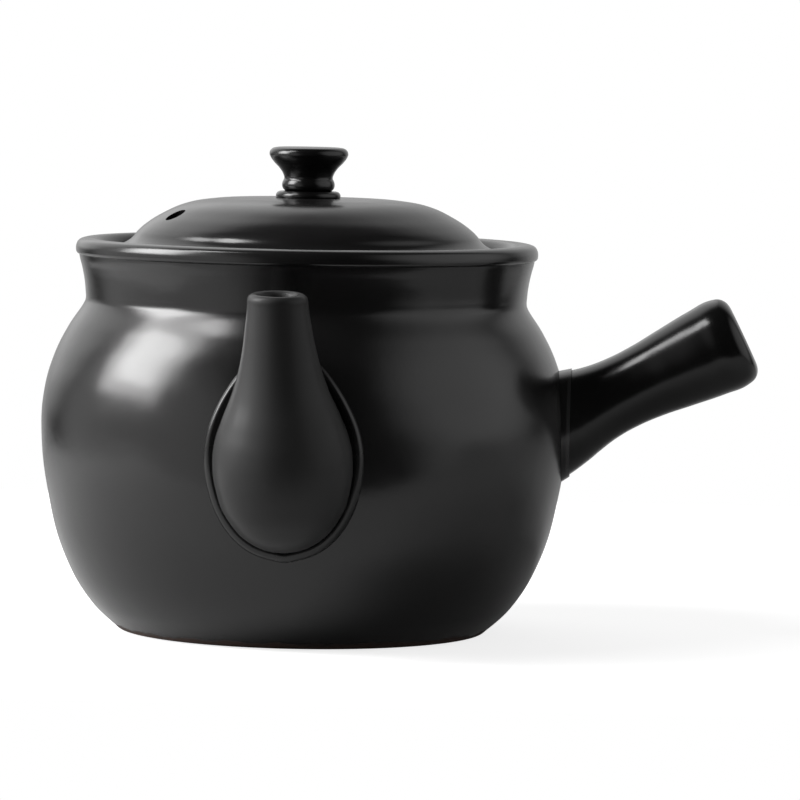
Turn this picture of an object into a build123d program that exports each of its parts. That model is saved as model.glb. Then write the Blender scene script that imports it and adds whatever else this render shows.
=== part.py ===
from build123d import *
import os
from itertools import pairwise
from math import cos, radians, sin, tan

# A stoneware medicine pot, in millimetres. +Z is up, the origin is the middle of the flat base,
# the spout points along -Y and the handle along +X.

# Pot body: the thrown vessel
belly_radius = 105.0
belly_height = 78.5
foot_draw_in = 31.0
neck_draw_in = 17.1
shoulder_height = 52.0
neck_height = 23.9
rim_flare = 3.9
lip_width = 9.8
lip_depth = 8.6
wall = 5.5
floor_thickness = 6.5
base_edge_round = 3.0

# Gallery: the ledge inside the rim that carries the lid
ledge_drop = 7.4
ledge_width = 9.0
ledge_thickness = 4.5
ledge_slope_drop = 6.0
throat_bevel = 1.0

# Lid
lid_side_clearance = 2.0
lid_rise = 25.6
lid_foot_rise = 11.4
lid_wall = 4.6
brim_width = 13.2
lid_edge_thickness = 4.0
lid_edge_round = 1.5
knob_seat_radius = 14.0
skirt_clearance = 2.5
skirt_thickness = 4.0
skirt_depth = 10.0
skirt_bevel = 1.2
vent_radius = 3.5
vent_inset = 9.8
vent_angle = 197.0

# Knob and the clay bead around its foot
knob_radius = 15.7
knob_height = 20.2
knob_waist_radius = 9.7
knob_bead_radius = 10.5
knob_stem_radius = 9.3
knob_ring_width = 3.0
knob_ring_height = 2.6
knob_ring_round = 1.2

# Spout: a pear-shaped tube, cut to the belly
spout_bulb_drop = 38.5
spout_mouth_drop = 14.4
spout_overhang = 15.0
spout_tilt = 13.0
spout_side_lean = 3.0
spout_mouth_tilt = 5.0
spout_bulb_radius = 26.8
spout_mouth_radius = 11.5
spout_mouth_wall = 5.3
spout_wall = 4.2
spout_ring_width = 3.7
spout_ring_height = 2.6

# Strainer: holes pierced through the belly wall behind the spout
strainer_pitch = 8.4
strainer_hole_radius = 2.3
strainer_first_ring = 6
strainer_second_ring = 12

# Handle: a thrown hollow tube, cut upright where it meets its collar
handle_tilt = 26.3
handle_seam_overhang = 1.4
handle_seam_rise = 9.0
handle_length = 76.0
handle_flare_radius = 21.9
handle_waist_radius = 14.8
handle_end_radius = 18.3
handle_wall = 7.6
collar_step = 0.7

# The layer of slip between clay pieces that are luted together
slip_gap = 0.3

# How far a cutting shape runs past what it cuts
overrun = 2.0

# Curves of the outlines, as shares of the sizes above. A pair is a point's share of the run from an
# outline's start to its end, across and up.
lower_belly_shares = [(0.33, 0.135), (0.68, 0.375), (0.895, 0.675)]
shoulder_shares = [(0.05, 0.30), (0.27, 0.57), (0.60, 0.80)]
heel_direction_share = (1.0, 0.66)
shoulder_direction_share = (-0.58, 1.0)
neck_flare_share = 0.34
neck_middle_share = 0.55
lip_bulge_share = 0.46
dome_shares = [(0.439, 0.065)]
dome_inside_shares = [(0.581, 0.129)]
bulb_bottom_shares = [(0.162, 0.551)]
bulb_top_share = 0.345
spout_neck_shares = [(0.270, 0.269), (0.771, 0.603)]
spout_lip_share = 0.415
strainer_share = 0.35
handle_root_share = -0.24
handle_flare_shares = [(0.434, 0.359)]
handle_waist_share = 0.30
handle_swell_shares = [(0.412, 0.469)]
handle_outer_lip_share = 0.84
handle_inner_lip_share = 0.14
knob_disc_share = 0.85
knob_edge_round_share = 0.90
knob_cone_shares = [(0.31, 0.42)]
knob_waist_share = 0.38
knob_bead_share = 0.25
knob_groove_share = 0.14

# Places that follow from the sizes
base_radius = belly_radius - foot_draw_in
neck_radius = belly_radius - neck_draw_in
crease_height = belly_height + shoulder_height
rim_radius = neck_radius + rim_flare
rim_height = crease_height + neck_height
gallery_radius = rim_radius - lip_width
throat_radius = gallery_radius - ledge_width
ledge_height = rim_height - ledge_drop
ledge_bottom = ledge_height - ledge_thickness
neck_top = rim_height - lip_depth
neck_top_radius = rim_radius - lip_bulge_share * rim_flare
lip_round = lip_width / 2
lip_middle = rim_height - lip_round


def part_way(start, end, shares):
    """The points at given shares of the run from start to end, across and up."""
    across, up = end[0] - start[0], end[1] - start[1]
    return [(start[0] + x * across, start[1] + y * up) for x, y in shares]


def tangent_arcs(start, end, knee_shares, direction):
    """Draw arcs from start to end, each leaving the way the last one arrived. Give the final direction."""
    for first, last in pairwise([start, *part_way(start, end, knee_shares), end]):
        arc = TangentArc(first, last, tangent=direction)
        direction = arc % 1
    return direction


def wall_line(inset, low):
    """Draw the pot's wall line from the base's edge up to the crease under the neck."""
    base = (base_radius - inset, low)
    widest = (belly_radius - inset, belly_height)
    crease = (neck_radius - inset, crease_height)
    lower_belly = part_way(base, widest, lower_belly_shares)
    shoulder = part_way(widest, crease, shoulder_shares)
    Spline(base, *lower_belly, widest, tangents=[heel_direction_share, (0, 1)])
    Spline(widest, *shoulder, crease, tangents=[(0, 1), shoulder_direction_share])


def outside_line(grow):
    """Draw the pot's outside from the base to the widest part of the lip, grown by a clearance."""
    wall_line(-grow, 0)
    ThreePointArc(
        (neck_radius + grow, crease_height),
        (neck_radius + grow + neck_flare_share * (neck_top_radius - neck_radius),
         crease_height + neck_middle_share * (neck_top - crease_height)),
        (neck_top_radius + grow, neck_top),
    )
    tangent_arcs((rim_radius + grow, lip_middle), (neck_top_radius + grow, neck_top), [], (0, -1))


def pot_envelope(grow):
    """The pot's outside as a filled solid, grown by a clearance, for cutting what is luted to it."""
    with BuildPart(mode=Mode.PRIVATE) as envelope:
        with BuildSketch(Plane.XZ):
            with BuildLine():
                outside_line(grow)
                Polyline(
                    (rim_radius + grow, lip_middle),
                    (rim_radius + grow, rim_height),
                    (0, rim_height),
                    (0, 0),
                    (base_radius + grow, 0),
                )
            make_face()
        revolve(axis=Axis.Z)
    return envelope.part


# Pot body: one wall thrown on the wheel, with the gallery turned inside the rim and the strainer
# pierced through the belly behind the spout.
spout_bottom_height = belly_height - spout_bulb_drop
spout_mouth_height = rim_height - spout_mouth_drop
spout_run = spout_mouth_height - spout_bottom_height
strainer_height = spout_bottom_height + strainer_share * spout_run
with BuildPart() as pot_body:
    with BuildSketch(Plane.XZ) as pot_section:
        with BuildLine():
            outside_line(0)
            ThreePointArc(
                (rim_radius, lip_middle),
                (rim_radius - lip_round, rim_height),
                (gallery_radius, lip_middle),
            )
            Polyline(
                (gallery_radius, lip_middle),
                (gallery_radius, ledge_height),
                (throat_radius, ledge_height),
                (throat_radius, ledge_bottom),
                (neck_radius - wall, ledge_bottom - ledge_slope_drop),
                (neck_radius - wall, crease_height),
            )
            wall_line(wall, floor_thickness)
            Polyline(
                (base_radius - wall, floor_thickness),
                (0, floor_thickness),
                (0, 0),
                (base_radius, 0),
            )
        make_face()
        chamfer(pot_section.vertices().sort_by_distance((throat_radius, ledge_height))[0], throat_bevel)
        fillet(pot_section.vertices().sort_by_distance((base_radius, 0))[0], base_edge_round)
    revolve(axis=Axis.Z)
    with BuildSketch(Plane((0, -belly_radius - overrun, strainer_height), z_dir=(0, 1, 0))):
        Circle(strainer_hole_radius)
        with PolarLocations(strainer_pitch, strainer_first_ring):
            Circle(strainer_hole_radius)
        with PolarLocations(2 * strainer_pitch, strainer_second_ring):
            Circle(strainer_hole_radius)
    extrude(amount=3 * wall, mode=Mode.SUBTRACT)
pot_body.part.label = "pot_body"


# Spout: a pear thrown on the wheel, leaned outwards, cut to the belly and cut nearly level at the
# mouth. Its channel is the same pear, one wall smaller.
spout_mouth = Vector(-spout_side_lean, -belly_radius - spout_overhang, spout_mouth_height)
spout_rise = Vector(-spout_side_lean, -spout_run * tan(radians(spout_tilt)), spout_run)
spout_bottom = spout_mouth - spout_rise
spout_length = spout_rise.length
spout_side = Plane(origin=spout_bottom, z_dir=spout_rise).x_dir
spout_plane = Plane(origin=spout_bottom, x_dir=spout_side, z_dir=spout_side.cross(spout_rise))
spout_axis = Axis(spout_bottom, spout_rise)


def pear(grow, mouth_radius):
    """The spout's pear as a solid of revolution, grown or shrunk from its outside."""
    widest = (spout_bulb_radius + grow, bulb_top_share * spout_length)
    bottom = (0, -grow)
    mouth = (mouth_radius, spout_length)
    past_mouth = (mouth_radius, spout_length + spout_mouth_radius)
    with BuildPart(mode=Mode.PRIVATE) as form:
        with BuildSketch(spout_plane):
            with BuildLine():
                tangent_arcs(widest, bottom, bulb_bottom_shares, (0, -1))
                tangent_arcs(widest, mouth, spout_neck_shares, (0, 1))
                Polyline(mouth, past_mouth, (0, past_mouth[1]), bottom)
            make_face()
        revolve(axis=spout_axis)
    return form.part


luting_face = pot_envelope(slip_gap)
mouth_plane = Plane(
    origin=spout_mouth,
    z_dir=(0, -sin(radians(spout_mouth_tilt)), cos(radians(spout_mouth_tilt))),
)
with BuildPart() as spout:
    add(pear(0, spout_mouth_radius))
    add(pear(-spout_wall, spout_mouth_radius - spout_mouth_wall), mode=Mode.SUBTRACT)
    split(bisect_by=mouth_plane, keep=Keep.BOTTOM)
    add(luting_face, mode=Mode.SUBTRACT)
    lip_edges = spout.faces().sort_by_distance(spout_mouth)[0].edges()
    fillet(lip_edges, spout_lip_share * spout_mouth_wall)
spout.part.label = "spout"

# Luting ring: the coil of clay smoothed round the foot of the spout
with BuildPart() as spout_luting_ring:
    add(pear(spout_ring_width, spout_mouth_radius + spout_ring_width))
    add(pear(slip_gap, spout_mouth_radius + slip_gap), mode=Mode.SUBTRACT)
    add(luting_face, mode=Mode.SUBTRACT)
    add(pot_envelope(slip_gap + spout_ring_height), mode=Mode.INTERSECT)
spout_luting_ring.part.label = "spout_luting_ring"

# Handle: a hollow tube of revolution on a tilted axis, open at its outer end
handle_rise = Vector(cos(radians(handle_tilt)), 0, sin(radians(handle_tilt)))
handle_root = Vector(belly_radius + handle_seam_overhang, 0, belly_height + handle_seam_rise)
handle_plane = Plane(origin=handle_root, x_dir=handle_rise, z_dir=(0, -1, 0))
handle_axis = Axis(handle_root, handle_rise)
handle_end = handle_root + handle_rise * handle_length
seam_plane = Plane(origin=handle_root, z_dir=(1, 0, 0))
handle_end_plane = Plane(origin=handle_end, z_dir=handle_rise)


def handle_form(grow):
    """The handle's outside as a solid of revolution that runs past both ends, grown or shrunk."""
    waist = (handle_waist_share * handle_length, handle_waist_radius + grow)
    root = (handle_root_share * handle_length, handle_flare_radius + grow)
    end = (handle_length, handle_end_radius + grow)
    past_end = handle_length + overrun
    with BuildPart(mode=Mode.PRIVATE) as form:
        with BuildSketch(handle_plane):
            with BuildLine():
                tangent_arcs(waist, root, handle_flare_shares, (-1, 0))
                tangent_arcs(waist, end, handle_swell_shares, (1, 0))
                Polyline(end, (past_end, end[1]), (past_end, 0), (root[0], 0), root)
            make_face()
        revolve(axis=handle_axis)
    return form.part


handle_bore = handle_form(-handle_wall)
with BuildPart() as handle:
    add(handle_form(0))
    add(handle_bore, mode=Mode.SUBTRACT)
    split(bisect_by=seam_plane, keep=Keep.TOP)
    split(bisect_by=handle_end_plane, keep=Keep.BOTTOM)
    end_circles = handle.edges().filter_by(GeomType.CIRCLE).filter_by_position(
        Axis(handle_end, handle_rise), -slip_gap, slip_gap
    )
    inner_lip, outer_lip = end_circles.sort_by(SortBy.RADIUS)
    fillet(outer_lip, handle_outer_lip_share * handle_wall)
    fillet(inner_lip, handle_inner_lip_share * handle_wall)
handle.part.label = "handle"

# Luting collar: the clay between the belly and the handle's upright cut
with BuildPart() as handle_luting_collar:
    add(handle_form(collar_step))
    split(bisect_by=seam_plane, keep=Keep.BOTTOM)
    add(luting_face, mode=Mode.SUBTRACT)
    add(handle_bore, mode=Mode.SUBTRACT)
handle_luting_collar.part.label = "handle_luting_collar"

# Lid: a thrown dome with a flared brim that lies on the gallery, and a skirt that drops into the
# throat. The vent is pierced through the dome.
lid_radius = gallery_radius - lid_side_clearance
lid_top_height = ledge_height + lid_rise
lid_ceiling = lid_top_height - lid_wall
lid_foot = (lid_radius - brim_width, ledge_height + lid_foot_rise)
brim_edge = (lid_radius, ledge_height + lid_edge_thickness)
skirt_radius = throat_radius - skirt_clearance
skirt_inner_radius = skirt_radius - skirt_thickness
skirt_bottom = ledge_height - skirt_depth
with BuildPart() as lid:
    with BuildSketch(Plane.XZ) as lid_section:
        with BuildLine():
            dome_end = tangent_arcs((knob_seat_radius, lid_top_height), lid_foot, dome_shares, (1, 0))
            tangent_arcs(lid_foot, brim_edge, [], dome_end)
            Polyline(
                brim_edge,
                (lid_radius, ledge_height),
                (skirt_radius, ledge_height),
                (skirt_radius, skirt_bottom),
                (skirt_inner_radius, skirt_bottom),
                (skirt_inner_radius, brim_edge[1]),
            )
            tangent_arcs(
                (knob_seat_radius, lid_ceiling),
                (skirt_inner_radius, brim_edge[1]),
                dome_inside_shares,
                (1, 0),
            )
            Polyline(
                (knob_seat_radius, lid_ceiling),
                (0, lid_ceiling),
                (0, lid_top_height),
                (knob_seat_radius, lid_top_height),
            )
        make_face()
        fillet(lid_section.vertices().sort_by_distance(brim_edge)[0], lid_edge_round)
        for skirt_corner in ((skirt_radius, skirt_bottom), (skirt_inner_radius, skirt_bottom)):
            chamfer(lid_section.vertices().sort_by_distance(skirt_corner)[0], skirt_bevel)
    revolve(axis=Axis.Z)
    with BuildSketch(Plane.XY.offset(lid_top_height)):
        with PolarLocations(lid_foot[0] - vent_inset, 1, start_angle=vent_angle):
            Circle(vent_radius)
    extrude(amount=-lid_rise, mode=Mode.SUBTRACT)
lid.part.label = "lid"

# Knob: a turned button on a beaded stem, luted on the flat in the middle of the lid
knob_groove = (knob_stem_radius, lid_top_height + knob_groove_share * knob_height)
knob_bead = (knob_bead_radius, lid_top_height + knob_bead_share * knob_height)
knob_waist = (knob_waist_radius, lid_top_height + knob_waist_share * knob_height)
knob_disc = (knob_radius, lid_top_height + knob_disc_share * knob_height)
knob_top = (knob_radius, lid_top_height + knob_height)
with BuildPart() as lid_knob:
    with BuildSketch(Plane.XZ) as knob_section:
        with BuildLine():
            ThreePointArc(knob_groove, knob_bead, knob_waist)
            tangent_arcs(knob_waist, knob_disc, knob_cone_shares, (0, 1))
            Polyline(
                knob_disc,
                knob_top,
                (0, knob_top[1]),
                (0, lid_top_height),
                (knob_stem_radius, lid_top_height),
                knob_groove,
            )
        make_face()
        knob_rim = knob_section.vertices().sort_by_distance(knob_top)[0]
        fillet(knob_rim, knob_edge_round_share * (knob_top[1] - knob_disc[1]))
    revolve(axis=Axis.Z)
lid_knob.part.label = "lid_knob"

# Knob luting ring: the bead of clay round the foot of the knob
ring_inner_radius = knob_stem_radius + slip_gap
ring_corner = (ring_inner_radius + knob_ring_width, lid_top_height + knob_ring_height)
with BuildPart() as knob_luting_ring:
    with BuildSketch(Plane.XZ) as ring_section:
        with Locations((ring_inner_radius, lid_top_height)):
            Rectangle(knob_ring_width, knob_ring_height, align=(Align.MIN, Align.MIN))
        fillet(ring_section.vertices().sort_by_distance(ring_corner)[0], knob_ring_round)
    revolve(axis=Axis.Z)
knob_luting_ring.part.label = "knob_luting_ring"

os.makedirs("parts", exist_ok=True)
pieces = [
    pot_body,
    spout,
    spout_luting_ring,
    handle,
    handle_luting_collar,
    lid,
    lid_knob,
    knob_luting_ring,
]
for piece in pieces:
    export_step(piece.part, f"parts/{piece.part.label}.step")
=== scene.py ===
import math

import bmesh
import bpy
from mathutils import Matrix, Quaternion, Vector


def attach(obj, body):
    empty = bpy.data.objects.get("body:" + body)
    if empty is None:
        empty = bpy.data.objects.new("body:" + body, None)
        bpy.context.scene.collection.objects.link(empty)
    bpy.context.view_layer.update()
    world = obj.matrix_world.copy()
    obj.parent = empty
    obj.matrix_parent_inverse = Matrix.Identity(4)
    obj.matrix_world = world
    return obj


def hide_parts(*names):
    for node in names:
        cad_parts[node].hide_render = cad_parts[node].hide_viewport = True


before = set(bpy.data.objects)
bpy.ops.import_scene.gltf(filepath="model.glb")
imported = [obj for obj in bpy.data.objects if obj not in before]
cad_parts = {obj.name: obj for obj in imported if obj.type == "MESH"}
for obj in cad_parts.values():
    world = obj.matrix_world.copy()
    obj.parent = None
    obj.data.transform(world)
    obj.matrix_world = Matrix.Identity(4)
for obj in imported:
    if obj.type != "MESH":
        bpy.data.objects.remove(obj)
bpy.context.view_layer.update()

# Pot body. One wall of stoneware thrown on the wheel, with the gallery for the lid turned inside its
# rim and the strainer pierced through the belly behind the spout. It is dipped in satin black glaze,
# and its foot is wiped bare, so a thin ring of red-brown clay shows where it stands.
MM = 0.001
CURVE_STEPS = 9
WELD_DISTANCE = 0.01 * MM
POT_STEPS = 192
POT_CORNER_ANGLE = 35
FOOT_BARE_HEIGHT = 2.0 * MM
STRAINER_WALL = -100.0 * MM
STRAINER_HEIGHT = 75.0 * MM
STRAINER_PITCH = 8.4 * MM
STRAINER_HOLE_RADIUS = 2.3 * MM
STRAINER_PIN_LENGTH = 24.0 * MM
STRAINER_RINGS = ((0, 1), (1, 6), (2, 12))
SATIN_THICK = (0.0055, 0.0055, 0.0058)
SATIN_THIN = (0.0095, 0.0092, 0.009)
SATIN_RIPPLES = 0.10 * MM
SATIN_PITS = 0.012 * MM
DRIFT_SCALE, DRIFT_DETAIL = 38.0, 5.0
RIPPLE_SCALE, RIPPLE_DETAIL = 55.0, 2.0
PIT_SCALE, PIT_DETAIL = 900.0, 3.0
BARE_CLAY, BARE_CLAY_ROUGHNESS = (0.060, 0.034, 0.026), 0.85

POT_OUTSIDE = [
    (74.4, 1.3), (84.2, 10.6), (95.1, 29.4), (101.7, 53.0), (104.9, 78.5), (104.05, 94.1),
    (100.4, 108.1), (94.7, 120.1), (88.5, 129.7), (88.0, 131.2), (88.1, 134.5), (88.6, 139.0),
    (89.6, 144.0), (90.6, 147.8), (90.8, 149.0, "corner"), (91.8, 149.7), (92.15, 151.2),
    (91.9, 153.0), (91.1, 154.4), (89.2, 155.3), (86.9, 155.5), (84.4, 155.0), (82.7, 153.2),
    (82.05, 150.6),
]
POT_INSIDE = [
    (82.0, 147.8), (81.2, 147.0), (74.4, 147.0), (73.1, 146.0), (73.0, 143.0), (82.3, 136.4),
    (82.4, 131.0), (89.3, 118.4), (95.0, 106.6), (98.6, 93.0), (99.5, 78.5), (96.3, 53.0),
    (90.2, 33.0), (79.8, 15.2), (68.5, 8.0), (60.0, 6.5),
]


def outline(name, points):
    """Draw a smooth outline through (radius, height) points in millimetres. A third item marks a corner."""
    curve = bpy.data.curves.new(name, "CURVE")
    curve.dimensions = "3D"
    curve.resolution_u = CURVE_STEPS
    spline = curve.splines.new("BEZIER")
    spline.bezier_points.add(len(points) - 1)
    for knot, (radius, height, *corner) in zip(spline.bezier_points, points):
        knot.co = (radius * MM, 0, height * MM)
        knot.handle_left_type = knot.handle_right_type = "VECTOR" if corner else "AUTO"
    sketch = bpy.data.objects.new(name, curve)
    drawn = bpy.data.meshes.new_from_object(sketch)
    bpy.data.objects.remove(sketch)
    return drawn


def turned(name, points, steps, place=Matrix()):
    """Turn an outline about an axis, as clay is turned on the wheel."""
    shape = outline(name, points)
    clay = bmesh.new()
    clay.from_mesh(shape)
    bmesh.ops.spin(
        clay,
        geom=clay.verts[:] + clay.edges[:],
        axis=(0, 0, 1),
        angle=math.tau,
        steps=steps,
        use_merge=True,
    )
    bmesh.ops.remove_doubles(clay, verts=clay.verts, dist=WELD_DISTANCE)
    bmesh.ops.recalc_face_normals(clay, faces=clay.faces)
    clay.to_mesh(shape)
    clay.free()
    shape.transform(place)
    shape.shade_smooth()
    piece = bpy.data.objects.new(name, shape)
    bpy.context.scene.collection.objects.link(piece)
    return piece


def carve(piece, tool):
    """Cut a piece with another shape and throw the cutting shape away."""
    cut = piece.modifiers.new("cut", "BOOLEAN")
    cut.operation, cut.solver, cut.object = "DIFFERENCE", "EXACT", tool
    graph = bpy.context.evaluated_depsgraph_get()
    shape = bpy.data.meshes.new_from_object(piece.evaluated_get(graph))
    piece.modifiers.clear()
    piece.data = shape
    bpy.data.objects.remove(tool)


def soften(piece, corner_angle):
    """Shade a piece smooth, apart from the edges sharper than an angle in degrees."""
    piece.data.shade_smooth()
    piece.data.set_sharp_from_angle(angle=math.radians(corner_angle))


def strainer_pins():
    """The pins that pierce the strainer through the wall, as one shape."""
    pins = bmesh.new()
    for ring, count in STRAINER_RINGS:
        for number in range(count):
            turn = math.tau * number / count
            across, up = math.cos(turn), math.sin(turn)
            reach = ring * STRAINER_PITCH
            place = Matrix.Translation((
                reach * across, STRAINER_WALL, STRAINER_HEIGHT + reach * up
            )) @ Matrix.Rotation(math.radians(90), 4, "X")
            bmesh.ops.create_cone(
                pins,
                cap_ends=True,
                segments=32,
                radius1=STRAINER_HOLE_RADIUS,
                radius2=STRAINER_HOLE_RADIUS,
                depth=STRAINER_PIN_LENGTH,
                matrix=place,
            )
    shape = bpy.data.meshes.new("strainer_pins")
    pins.to_mesh(shape)
    pins.free()
    tool = bpy.data.objects.new("strainer_pins", shape)
    bpy.context.scene.collection.objects.link(tool)
    return tool


def noise(tree, scale, detail):
    """A cloud of noise fixed to the piece."""
    place = tree.nodes.new("ShaderNodeTexCoord")
    cloud = tree.nodes.new("ShaderNodeTexNoise")
    cloud.inputs["Scale"].default_value = scale
    cloud.inputs["Detail"].default_value = detail
    tree.links.new(place.outputs["Object"], cloud.inputs["Vector"])
    return cloud.outputs["Fac"]


def relief(tree, scale, detail, depth):
    """A bump of a depth in metres that follows a cloud of noise."""
    bump = tree.nodes.new("ShaderNodeBump")
    bump.inputs["Strength"].default_value = 1.0
    bump.inputs["Distance"].default_value = depth
    tree.links.new(noise(tree, scale, detail), bump.inputs["Height"])
    return bump


def glaze(name, thick, thin, smooth, rough, ripple_depth, pit_depth):
    """A fired glaze whose tone and gloss drift with its thickness, over slow ripples and fine pits."""
    finish = bpy.data.materials.new(name)
    finish.use_nodes = True
    tree = finish.node_tree
    surface = tree.nodes["Principled BSDF"]
    drift = noise(tree, DRIFT_SCALE, DRIFT_DETAIL)

    tone = tree.nodes.new("ShaderNodeMix")
    tone.data_type = "RGBA"
    tone.inputs["A"].default_value = (*thick, 1.0)
    tone.inputs["B"].default_value = (*thin, 1.0)
    tree.links.new(drift, tone.inputs["Factor"])
    tree.links.new(tone.outputs["Result"], surface.inputs["Base Color"])

    gloss = tree.nodes.new("ShaderNodeMapRange")
    gloss.inputs["From Min"].default_value = 0.3
    gloss.inputs["From Max"].default_value = 0.7
    gloss.inputs["To Min"].default_value = smooth
    gloss.inputs["To Max"].default_value = rough
    tree.links.new(drift, gloss.inputs["Value"])
    tree.links.new(gloss.outputs["Result"], surface.inputs["Roughness"])

    ripples = relief(tree, RIPPLE_SCALE, RIPPLE_DETAIL, ripple_depth)
    pits = relief(tree, PIT_SCALE, PIT_DETAIL, pit_depth)
    tree.links.new(ripples.outputs["Normal"], pits.inputs["Normal"])
    tree.links.new(pits.outputs["Normal"], surface.inputs["Normal"])
    return finish


def dark_satin(name, smooth, rough, specular):
    """The pot's black glaze, fired to a given gloss."""
    finish = glaze(name, SATIN_THICK, SATIN_THIN, smooth, rough, SATIN_RIPPLES, SATIN_PITS)
    finish.node_tree.nodes["Principled BSDF"].inputs["Specular IOR Level"].default_value = specular
    return finish


def bare_foot(finish, clay, height):
    """Leave the glaze off below a height, where the bare clay shows with an uneven edge."""
    nodes, links = finish.node_tree.nodes, finish.node_tree.links
    surface = nodes["Principled BSDF"]
    place = nodes.new("ShaderNodeTexCoord")
    split = nodes.new("ShaderNodeSeparateXYZ")
    links.new(place.outputs["Object"], split.inputs["Vector"])
    waver = nodes.new("ShaderNodeTexNoise")
    waver.inputs["Scale"].default_value = 90.0
    links.new(place.outputs["Object"], waver.inputs["Vector"])
    edge = nodes.new("ShaderNodeMath")
    edge.operation = "MULTIPLY_ADD"
    edge.inputs[1].default_value = -2.0 * height
    links.new(waver.outputs["Fac"], edge.inputs[0])
    links.new(split.outputs["Z"], edge.inputs[2])
    glazed = nodes.new("ShaderNodeMapRange")
    glazed.inputs["From Min"].default_value = -0.3 * height
    glazed.inputs["From Max"].default_value = 0.3 * height
    links.new(edge.outputs["Value"], glazed.inputs["Value"])
    for socket, bare in (("Base Color", clay), ("Roughness", BARE_CLAY_ROUGHNESS)):
        source = surface.inputs[socket].links[0].from_socket
        mix = nodes.new("ShaderNodeMix")
        colour = socket == "Base Color"
        mix.data_type = "RGBA" if colour else "FLOAT"
        mix.inputs["A"].default_value = (*bare, 1.0) if colour else bare
        links.new(glazed.outputs["Result"], mix.inputs["Factor"])
        links.new(source, mix.inputs["B"])
        links.new(mix.outputs["Result"], surface.inputs[socket])


def fire(piece, finish, body, node):
    """Give a piece its glaze, let it move with its body and stand for its solid."""
    piece.data.materials.clear()
    piece.data.materials.append(finish)
    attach(piece, body)
    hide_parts(node)


pot = turned(
    "pot_body_glazed",
    [(0, 0, "corner"), (71.8, 0, "corner"), (73.2, 0.35), *POT_OUTSIDE, *POT_INSIDE, (0, 6.5)],
    POT_STEPS,
)
carve(pot, strainer_pins())
soften(pot, POT_CORNER_ANGLE)
pot_glaze = dark_satin("satin_black_pot_glaze", smooth=0.18, rough=0.24, specular=0.62)
bare_foot(pot_glaze, BARE_CLAY, FOOT_BARE_HEIGHT)
fire(pot, pot_glaze, "pot", "pot_body")

# Spout. A small pear thrown on the wheel and opened at the top, leaned out from the belly and a little
# to one side. Its back is cut to the belly's curve. The pot's black glaze lies on it thin and dull, with
# a faint sheen towards its edges.
SPOUT_MOUTH = Vector((-3.0, -120.0, 140.0)) * MM
SPOUT_BOTTOM = Vector((0.0, -96.91, 40.0)) * MM
SPOUT_MOUTH_TILT = 5.0
SPOUT_LEAN_LENGTH = 30.0 * MM
SPOUT_STEPS = 128
LUTED_CORNER_ANGLE = 40
LUTING_GAP = 0.08
JOINED_BELLY = POT_OUTSIDE[:9]

SPOUT_OUTSIDE = [
    (0, 0), (13.3, 5.0), (22.5, 15.9), (25.75, 25.7), (26.8, 35.4), (25.8, 44.4), (22.7, 53.5),
    (18.2, 64.5), (15.0, 76.0), (12.7, 89.3), (11.6, 98.5), (11.4, 100.9),
]
SPOUT_LIP = [(10.3, 102.3), (8.8, 102.7), (7.3, 102.2), (6.4, 100.8)]
SPOUT_INSIDE = [
    (6.2, 98.5), (7.6, 89.3), (10.0, 76.0), (13.5, 64.6), (18.2, 53.5), (21.6, 44.4), (22.6, 35.4),
    (18.9, 18.2), (11.3, 8.3), (0, 4.2),
]


def pot_shape(grow):
    """The pot's outside as a filled shape, grown in millimetres, for cutting what is luted to it."""
    side = [(radius + grow, height) for radius, height in JOINED_BELLY]
    return turned(
        "pot_shape",
        [(0, -5, "corner"), (70, -5, "corner"), *side, (80, 140, "corner"), (0, 140, "corner")],
        POT_STEPS,
    )


def standing_along(foot, rise):
    """The place of a piece that is turned about an axis from its foot along a direction."""
    return Matrix.Translation(foot) @ rise.to_track_quat("Z", "Y").to_matrix().to_4x4()


def lean_mouth(piece, mouth, rise, normal, length):
    """Bend the last stretch of a spout so that its lip lies in a less tilted plane."""
    for point in piece.data.vertices:
        reach = point.co - mouth
        along = reach.dot(rise)
        across = reach - rise * along
        weight = max(0.0, min(1.0, 1.0 + along / length))
        weight = weight * weight * (3.0 - 2.0 * weight)
        point.co -= rise * (across.dot(normal) / rise.dot(normal) * weight)


spout_rise = (SPOUT_MOUTH - SPOUT_BOTTOM).normalized()
spout_place = standing_along(SPOUT_BOTTOM, spout_rise)
spout = turned("spout_glazed", [*SPOUT_OUTSIDE, *SPOUT_LIP, *SPOUT_INSIDE], SPOUT_STEPS, spout_place)
mouth_tilt = math.radians(SPOUT_MOUTH_TILT)
mouth_normal = Vector((0, -math.sin(mouth_tilt), math.cos(mouth_tilt)))
lean_mouth(spout, SPOUT_MOUTH, spout_rise, mouth_normal, SPOUT_LEAN_LENGTH)
carve(spout, pot_shape(LUTING_GAP))
soften(spout, LUTED_CORNER_ANGLE)
spout_glaze = dark_satin("dull_black_spout_glaze", smooth=0.58, rough=0.66, specular=0.45)
spout_surface = spout_glaze.node_tree.nodes["Principled BSDF"]
spout_surface.inputs["Coat Weight"].default_value = 1.0
spout_surface.inputs["Coat Roughness"].default_value = 0.22
spout_surface.inputs["Coat IOR"].default_value = 1.13
fire(spout, spout_glaze, "pot", "spout")

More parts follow.
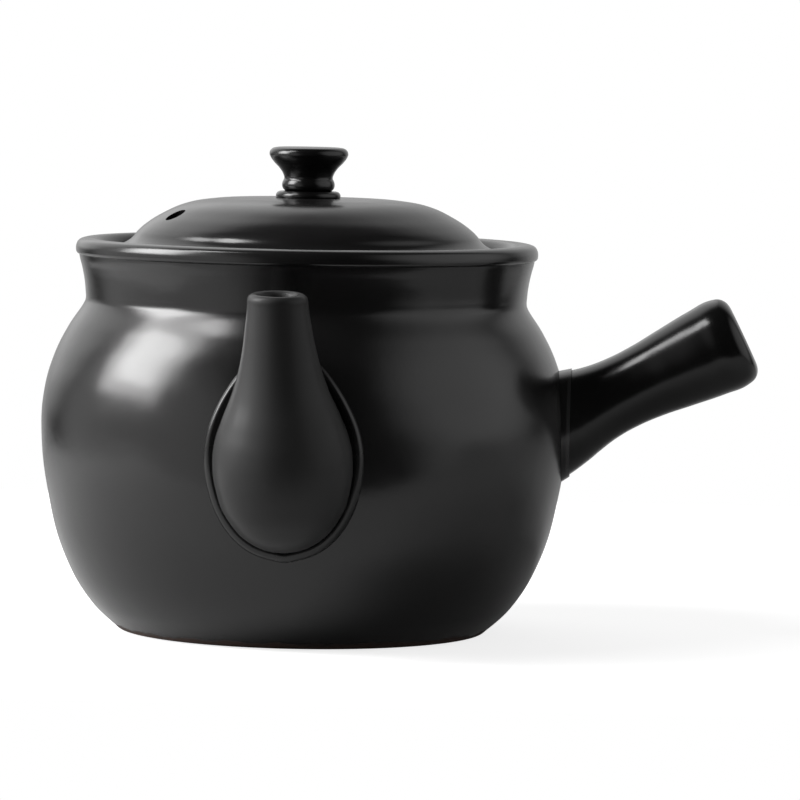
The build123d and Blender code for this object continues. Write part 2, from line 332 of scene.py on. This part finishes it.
# Luting coil round the spout. A thin roll of clay pressed into the joint of spout and belly. Low down it
# is smoothed into the bulb with a finger, beside the neck it is a round bead, and behind the neck it is
# smeared flat. It is glazed with the pot.
COIL_STATIONS = 180
COIL_CORNER_ANGLE = 60
COIL_ROUND = [
    (-0.9, -0.6), (-0.1, 0.6), (0.6, 1.1), (1.2, 2.0), (2.2, 2.7), (3.4, 2.5), (4.4, 1.3), (5.2, -0.6),
]
COIL_SMOOTHED = [
    (-0.9, -0.6), (-0.3, 1.2), (0.1, 2.5), (1.2, 2.6), (2.2, 2.3), (3.1, 1.7), (4.0, 0.8), (4.8, -0.6),
]
SMOOTHED_BELOW, ROUND_ABOVE = 0.35, 0.70
SMEARED_ABOVE = 0.75
COIL_FLAT_SHARE = 0.45
SEARCH_TOP, SEARCH_STEPS = 100.0 * MM, 30
SLOPE_STEP = 0.5 * MM


def curve_reader(points):
    """Read the radius, in metres, of an outline of millimetre points at any height, in metres."""
    drawn = outline("reader", points)
    samples = sorted((vertex.co.z, vertex.co.x) for vertex in drawn.vertices)
    bpy.data.meshes.remove(drawn)

    def radius_at(height):
        for (low, radius_low), (high, radius_high) in zip(samples, samples[1:]):
            if low <= height <= high and high > low:
                return radius_low + (radius_high - radius_low) * (height - low) / (high - low)
        return samples[0][1] if height < samples[0][0] else samples[-1][1]

    return radius_at


belly_at = curve_reader(JOINED_BELLY)
pear_at = curve_reader(SPOUT_OUTSIDE)


def on_pear(turn, height):
    """A point of the spout's outside, at a turn round its axis and a height along it."""
    radius = pear_at(height)
    local = Vector((radius * math.cos(turn), radius * math.sin(turn), height))
    return spout_place @ local


def joint_point(turn):
    """Where the spout's outside meets the belly, at a turn round the spout's axis."""
    low, high = 0.0, SEARCH_TOP
    for _ in range(SEARCH_STEPS):
        middle = (low + high) / 2
        point = on_pear(turn, middle)
        if point.xy.length < belly_at(point.z):
            low = middle
        else:
            high = middle
    return on_pear(turn, low)


def belly_normal(point):
    """The direction straight out of the belly at a point."""
    rise = belly_at(point.z + SLOPE_STEP) - belly_at(point.z - SLOPE_STEP)
    slope = rise / (2 * SLOPE_STEP)
    outward = point.xy.normalized()
    return Vector((outward.x, outward.y, -slope)).normalized()


def spout_coil():
    """Sweep the coil's section along the joint of spout and belly."""
    joint = [joint_point(math.tau * number / COIL_STATIONS) for number in range(COIL_STATIONS)]
    middle = sum(joint, Vector()) / COIL_STATIONS
    top = max(point.z for point in joint)
    bottom = min(point.z for point in joint)
    coil = bmesh.new()
    loops = []
    for number, point in enumerate(joint):
        along = (joint[(number + 1) % COIL_STATIONS] - joint[number - 1]).normalized()
        up = belly_normal(point)
        away = along.cross(up).normalized()
        if away.dot(point - middle) < 0:
            away.negate()
        climb = (point.z - bottom) / (top - bottom)
        round_share = (climb - SMOOTHED_BELOW) / (ROUND_ABOVE - SMOOTHED_BELOW)
        round_share = max(0.0, min(1.0, round_share))
        section = [
            Vector(smoothed).lerp(Vector(full_round), round_share)
            for smoothed, full_round in zip(COIL_SMOOTHED, COIL_ROUND)
        ]
        smear = max(0.0, (climb - SMEARED_ABOVE) / (1.0 - SMEARED_ABOVE))
        full = 1.0 - (1.0 - COIL_FLAT_SHARE) * smear * smear * (3 - 2 * smear)
        loops.append([
            coil.verts.new(point + away * (across * MM) + up * (height * full * MM))
            for across, height in section
        ])
    for number, loop in enumerate(loops):
        following = loops[(number + 1) % COIL_STATIONS]
        for place in range(len(loop)):
            after = (place + 1) % len(loop)
            coil.faces.new((loop[place], loop[after], following[after], following[place]))
    bmesh.ops.recalc_face_normals(coil, faces=coil.faces)
    shape = bpy.data.meshes.new("spout_coil_glazed")
    coil.to_mesh(shape)
    coil.free()
    piece = bpy.data.objects.new("spout_coil_glazed", shape)
    bpy.context.scene.collection.objects.link(piece)
    rounding = piece.modifiers.new("rounding", "SUBSURF")
    rounding.levels = rounding.render_levels = 1
    return piece


coil = spout_coil()
soften(coil, COIL_CORNER_ANGLE)
coil_glaze = dark_satin("satin_black_coil_glaze", smooth=0.24, rough=0.30, specular=0.5)
fire(coil, coil_glaze, "pot", "spout_luting_ring")

# Handle. A hollow tube thrown on the wheel, swelling to a rounded open end, cut upright at its root.
# It is brushed with a second, glossy black glaze, so it shines much more than the belly.
HANDLE_ROOT = Vector((106.4, 0.0, 87.5)) * MM
HANDLE_TILT = 26.3
HANDLE_STEPS = 128
CUT_FROM, CUT_TO = 60.0 * MM, 200.0 * MM
CUT_HALF_WIDTH = 50.0 * MM
CUT_TOP = 200.0 * MM
HANDLE_OUTSIDE = [
    (21.9, -18.2), (20.6, -9.0), (18.7, 0.0), (17.3, 5.2), (15.6, 13.0), (14.8, 22.8), (15.2, 34.0),
    (16.4, 44.7), (18.05, 60.0), (18.4, 69.6), (16.5, 74.1), (12.0, 75.9),
]
HANDLE_INSIDE = [
    (11.2, 75.7), (10.8, 74.9), (10.45, 60.0), (8.8, 44.7), (7.6, 34.0), (7.2, 22.8), (8.0, 13.0),
    (9.7, 5.2), (11.1, 0.0), (13.0, -9.0), (14.3, -18.2),
]


def block(name, low, high):
    """A plain cutting block between two corners."""
    shape = bpy.data.meshes.new(name)
    solid = bmesh.new()
    bmesh.ops.create_cube(solid, size=1.0)
    solid.transform(Matrix.Translation((low + high) / 2) @ Matrix.Diagonal((*(high - low), 1.0)))
    solid.to_mesh(shape)
    solid.free()
    tool = bpy.data.objects.new(name, shape)
    bpy.context.scene.collection.objects.link(tool)
    return tool


tilt = math.radians(HANDLE_TILT)
handle_rise = Vector((math.cos(tilt), 0, math.sin(tilt)))
handle_place = standing_along(HANDLE_ROOT, handle_rise)
handle_wall = [*HANDLE_OUTSIDE, *HANDLE_INSIDE, HANDLE_OUTSIDE[0]]
handle = turned("handle_glazed", handle_wall, HANDLE_STEPS, handle_place)
carve(handle, block(
    "behind_seam",
    Vector((CUT_FROM, -CUT_HALF_WIDTH, 0.0)),
    Vector((HANDLE_ROOT.x, CUT_HALF_WIDTH, CUT_TOP)),
))
soften(handle, LUTED_CORNER_ANGLE)
handle_glaze = glaze(
    "gloss_black_handle_glaze",
    thick=(0.0025, 0.0025, 0.0028),
    thin=(0.005, 0.0048, 0.0045),
    smooth=0.17,
    rough=0.23,
    ripple_depth=0.06 * MM,
    pit_depth=0.004 * MM,
)
fire(handle, handle_glaze, "pot", "handle")

# Luting collar of the handle. The clay that joins the handle's upright cut to the belly, pared round
# with a knife. It took the pot's satin glaze. The thin light line beside the glossy handle is a painted
# highlight: a paler band painted along the collar's edge.
COLLAR_STEP = 0.7
COLLAR_HIGHLIGHT_WIDTH = 1.6 * MM
COLLAR_HIGHLIGHT_FADE = 0.5 * MM
# Paler tone of the painted highlight along the collar's edge, standing in for the light caught there.
COLLAR_HIGHLIGHT_TONE = (0.036, 0.036, 0.036)


def paint_edge_highlight(finish, tone, start):
    """Paint a highlight on a glaze: a paler tone beyond a place along the handle, for light catching an
    edge.
    """
    nodes, links = finish.node_tree.nodes, finish.node_tree.links
    colour = nodes["Principled BSDF"].inputs["Base Color"]
    glazed = colour.links[0].from_socket
    place = nodes.new("ShaderNodeTexCoord")
    split = nodes.new("ShaderNodeSeparateXYZ")
    links.new(place.outputs["Object"], split.inputs["Vector"])
    # Mask of the painted highlight: 0 before the place along the handle, 1 beyond it.
    edge = nodes.new("ShaderNodeMapRange")
    edge.inputs["From Min"].default_value = start
    edge.inputs["From Max"].default_value = start + COLLAR_HIGHLIGHT_FADE
    links.new(split.outputs["X"], edge.inputs["Value"])
    mix = nodes.new("ShaderNodeMix")
    mix.data_type = "RGBA"
    mix.inputs["B"].default_value = (*tone, 1.0)
    links.new(edge.outputs["Result"], mix.inputs["Factor"])
    links.new(glazed, mix.inputs["A"])
    links.new(mix.outputs["Result"], colour)


collar_outside = [(radius + COLLAR_STEP, height) for radius, height in HANDLE_OUTSIDE[:6]]
collar_wall = [*collar_outside, *HANDLE_INSIDE[-6:], collar_outside[0]]
collar = turned("handle_collar_glazed", collar_wall, HANDLE_STEPS, handle_place)
carve(collar, block(
    "beyond_seam",
    Vector((HANDLE_ROOT.x, -CUT_HALF_WIDTH, 0.0)),
    Vector((CUT_TO, CUT_HALF_WIDTH, CUT_TOP)),
))
carve(collar, pot_shape(LUTING_GAP))
soften(collar, LUTED_CORNER_ANGLE)
collar_glaze = pot_glaze.copy()
collar_glaze.name = "satin_black_collar_glaze_painted_highlight"
# The collar's glaze gets a painted highlight, a paler band along its edge by the seam.
paint_edge_highlight(collar_glaze, COLLAR_HIGHLIGHT_TONE, HANDLE_ROOT.x - COLLAR_HIGHLIGHT_WIDTH)
fire(collar, collar_glaze, "pot", "handle_luting_collar")

# Lid. A thrown dome with a flared brim that lies on the gallery and a skirt that keeps it from sliding
# off. One steam hole is pierced through the dome, and the lid has the pot's satin black glaze.
LID_OUTSIDE = [
    (0, 172.6), (14.0, 172.6), (26.0, 172.4), (38.0, 171.7), (49.0, 169.6), (58.6, 165.2),
    (64.4, 161.4), (67.6, 158.5), (69.4, 156.2), (71.4, 154.5), (74.6, 152.9), (78.2, 151.3),
    (79.7, 150.3), (80.0, 148.8), (79.7, 147.3), (78.6, 147.0),
]
LID_INSIDE = [
    (71.3, 147.0), (70.5, 146.2), (70.5, 138.4), (69.7, 137.1), (68.5, 137.0), (67.2, 137.2),
    (66.5, 138.5), (66.5, 150.5), (62.4, 156.5), (57.2, 160.9), (44.5, 165.8), (29.3, 167.4),
    (14.0, 168.0), (0, 168.0),
]
LID_CORNER_ANGLE = 35
VENT_RADIUS, VENT_REACH, VENT_STEPS = 4.2, 20, 48
VENT_PLACE = Vector((-49.2, -26.0, 160.0)) * MM
VENT_WAY = Vector((-0.20, -0.30, 0.93))

lid = turned("lid_glazed", [*LID_OUTSIDE, *LID_INSIDE], POT_STEPS)
carve(lid, turned(
    "vent_pin",
    [
        (0, -VENT_REACH), (VENT_RADIUS, -VENT_REACH, "corner"),
        (VENT_RADIUS, VENT_REACH, "corner"), (0, VENT_REACH),
    ],
    VENT_STEPS,
    standing_along(VENT_PLACE, VENT_WAY),
))
soften(lid, LID_CORNER_ANGLE)
fire(lid, pot_glaze, "lid", "lid")

# Knob. A button turned from one lump of clay, with a wide disc, a waist and a bead above its foot,
# luted on the middle of the lid and brushed with the glossy black glaze.
KNOB_STEPS = 96
KNOB_CORNER_ANGLE = 40
KNOB_OUTLINE = [
    (0, 172.6, "corner"), (9.3, 172.6, "corner"), (9.3, 175.2), (10.2, 176.4), (10.5, 177.7),
    (10.2, 179.2), (9.7, 180.3), (10.1, 182.0), (11.56, 184.3), (13.9, 186.8), (15.4, 189.0),
    (15.7, 190.3), (14.9, 191.9), (12.9, 192.65), (9.0, 192.6), (0, 192.5),
]

knob = turned("knob_glazed", KNOB_OUTLINE, KNOB_STEPS)
soften(knob, KNOB_CORNER_ANGLE)
fire(knob, handle_glaze, "lid", "lid_knob")

# Bead round the knob's foot. A thread of clay pressed into the joint of knob and lid and rounded with
# a wet brush, glazed glossy black with the knob.
BEAD_CORNER_ANGLE = 50
BEAD_OUTLINE = [
    (9.6, 172.6, "corner"), (12.6, 172.6), (12.9, 173.3), (12.6, 174.4), (11.7, 175.1),
    (10.4, 175.2), (9.6, 175.0), (9.6, 172.6, "corner"),
]

bead = turned("knob_bead_glazed", BEAD_OUTLINE, KNOB_STEPS)
soften(bead, BEAD_CORNER_ANGLE)
fire(bead, handle_glaze, "lid", "knob_luting_ring")

# The studio. A pale floor, soft white sweeps behind and at both sides, a dark room in front and
# overhead, a large soft light high on the left and a small one above it. The camera sees the surround
# as plain white, and the glaze sees the sweeps at their full level.
FLOOR_CORNERS = ((-0.55, -0.24), (0.95, -0.24), (0.95, 0.60), (-0.55, 0.60))
FLOOR_HEIGHT = -0.2 * MM
FLOOR_TONE = (0.58, 0.58, 0.58, 1.0)
FLOOR_SHOWN, FLOOR_FADE_FROM, FLOOR_FADE_TO = 0.78, 0.3, 0.9
STUDIO_DARK = 0.03
UNREFLECTED_SHARE = 0.9
# Each sweep has a direction, the angles at which it ends and at which it is full, and its level.
SWEEPS = (
    ((-0.45, 0.75, 0.49), 38.0, 18.0, 1.15),
    ((0.05, 0.95, 0.28), 55.0, 25.0, 0.60),
    ((-0.96, -0.25, -0.10), 62.0, 34.0, 0.70),
    ((0.93, -0.10, 0.32), 50.0, 13.0, 0.80),
)
# Each light has a name, the point that it faces, the way to it, its distance, size and watts.
SOFT_LIGHTS = (
    ("softbox_middle", (-0.068, -0.075, 0.105), (-0.833, -0.102, 0.545), 0.8, (0.34, 0.38), 5.2),
    ("softbox", (-0.068, -0.075, 0.105), (-0.833, -0.102, 0.545), 0.8, (0.55, 0.65), 6.6),
    ("high_strip", (0.150, -0.010, 0.110), (-0.586, -0.193, 0.788), 1.6, (0.50, 0.22), 3.6),
)


def sweep(tree, direction, towards, edge, full, level):
    """The light of one sweep: none beyond the edge angle, in degrees, and its level within the full one."""
    turned_to = tree.nodes.new("ShaderNodeVectorMath")
    turned_to.operation = "DOT_PRODUCT"
    turned_to.inputs[1].default_value = Vector(towards).normalized()
    tree.links.new(direction, turned_to.inputs[0])
    share = tree.nodes.new("ShaderNodeMapRange")
    share.interpolation_type = "SMOOTHSTEP"
    share.inputs["From Min"].default_value = math.cos(math.radians(edge))
    share.inputs["From Max"].default_value = math.cos(math.radians(full))
    share.inputs["To Max"].default_value = level
    tree.links.new(turned_to.outputs["Value"], share.inputs["Value"])
    return share.outputs["Result"]


def seen_directly(tree):
    """1 for what the camera sees itself or through something clear, otherwise 0."""
    path = tree.nodes.new("ShaderNodeLightPath")
    seen = tree.nodes.new("ShaderNodeMath")
    seen.operation = "MAXIMUM"
    tree.links.new(path.outputs["Is Camera Ray"], seen.inputs[0])
    tree.links.new(path.outputs["Is Transmission Ray"], seen.inputs[1])
    return seen.outputs["Value"]


world = bpy.data.worlds.new("studio")
world.use_nodes = True
bpy.context.scene.world = world
tree = world.node_tree
surround = tree.nodes["Background"]
surround.inputs["Color"].default_value = (1.0, 1.0, 1.0, 1.0)
around = tree.nodes.new("ShaderNodeTexCoord")
brightness = None
for towards, edge, full, level in SWEEPS:
    brighter = tree.nodes.new("ShaderNodeMath")
    brighter.operation = "MAXIMUM"
    brighter.inputs[0].default_value = STUDIO_DARK
    if brightness:
        tree.links.new(brightness, brighter.inputs[0])
    light = sweep(tree, around.outputs["Generated"], towards, edge, full, level)
    tree.links.new(light, brighter.inputs[1])
    brightness = brighter.outputs["Value"]
path = tree.nodes.new("ShaderNodeLightPath")
reflected = tree.nodes.new("ShaderNodeMapRange")
reflected.inputs["To Min"].default_value = UNREFLECTED_SHARE
tree.links.new(path.outputs["Is Glossy Ray"], reflected.inputs["Value"])
sent = tree.nodes.new("ShaderNodeMath")
sent.operation = "MULTIPLY"
tree.links.new(brightness, sent.inputs[0])
tree.links.new(reflected.outputs["Result"], sent.inputs[1])
white = tree.nodes.new("ShaderNodeMath")
white.operation = "MAXIMUM"
tree.links.new(sent.outputs["Value"], white.inputs[0])
tree.links.new(seen_directly(tree), white.inputs[1])
tree.links.new(white.outputs["Value"], surround.inputs["Strength"])

floor_shape = bpy.data.meshes.new("floor")
floor_shape.from_pydata([(x, y, FLOOR_HEIGHT) for x, y in FLOOR_CORNERS], [], [(0, 1, 2, 3)])
floor = bpy.data.objects.new("floor", floor_shape)
bpy.context.scene.collection.objects.link(floor)
floor_finish = bpy.data.materials.new("pale_floor")
floor_finish.use_nodes = True
tree = floor_finish.node_tree
matt = tree.nodes["Principled BSDF"]
matt.inputs["Base Color"].default_value = FLOOR_TONE
matt.inputs["Roughness"].default_value = 0.9
matt.inputs["Specular IOR Level"].default_value = 0.0
place = tree.nodes.new("ShaderNodeTexCoord")
distance = tree.nodes.new("ShaderNodeVectorMath")
distance.operation = "LENGTH"
tree.links.new(place.outputs["Object"], distance.inputs[0])
fade = tree.nodes.new("ShaderNodeMapRange")
fade.inputs["From Min"].default_value = FLOOR_FADE_FROM
fade.inputs["From Max"].default_value = FLOOR_FADE_TO
fade.inputs["To Min"].default_value = FLOOR_SHOWN
tree.links.new(distance.outputs["Value"], fade.inputs["Value"])
shown = tree.nodes.new("ShaderNodeMath")
shown.operation = "MULTIPLY"
tree.links.new(fade.outputs["Result"], shown.inputs[0])
tree.links.new(seen_directly(tree), shown.inputs[1])
glow = tree.nodes.new("ShaderNodeEmission")
tree.links.new(shown.outputs["Value"], glow.inputs["Strength"])
both = tree.nodes.new("ShaderNodeAddShader")
tree.links.new(matt.outputs["BSDF"], both.inputs[0])
tree.links.new(glow.outputs["Emission"], both.inputs[1])
tree.links.new(both.outputs["Shader"], tree.nodes["Material Output"].inputs["Surface"])
floor.data.materials.append(floor_finish)

for name, lit_point, way, distance, (width, height), power in SOFT_LIGHTS:
    lamp = bpy.data.lights.new(name, "AREA")
    lamp.shape = "RECTANGLE"
    lamp.size, lamp.size_y = width, height
    lamp.energy = power
    holder = bpy.data.objects.new(name, lamp)
    holder.location = Vector(lit_point) + Vector(way) * distance
    holder.rotation_mode = "QUATERNION"
    holder.rotation_quaternion = (-Vector(way)).to_track_quat("-Z", "Y")
    bpy.context.scene.collection.objects.link(holder)

# The camera, level with the lid and a long way off, turned a little as the photograph is.
CAMERA_PLACE = Vector((0.1392, -2.0954, 0.239))
CAMERA_AIM = Vector((0.0380, 0.0025, 0.0924))
CAMERA_ROLL = 1.05
CAMERA_LENS = 236.9

lens = bpy.data.cameras.new("camera")
lens.lens = CAMERA_LENS
lens.sensor_width = 36.0
camera = bpy.data.objects.new("camera", lens)
camera.location = CAMERA_PLACE
camera.rotation_mode = "QUATERNION"
facing = (CAMERA_AIM - CAMERA_PLACE).to_track_quat("-Z", "Y")
camera.rotation_quaternion = facing @ Quaternion((0, 0, 1), math.radians(CAMERA_ROLL))
bpy.context.scene.collection.objects.link(camera)
bpy.context.scene.camera = camera

view = bpy.context.scene.view_settings
view.view_transform = "Standard"
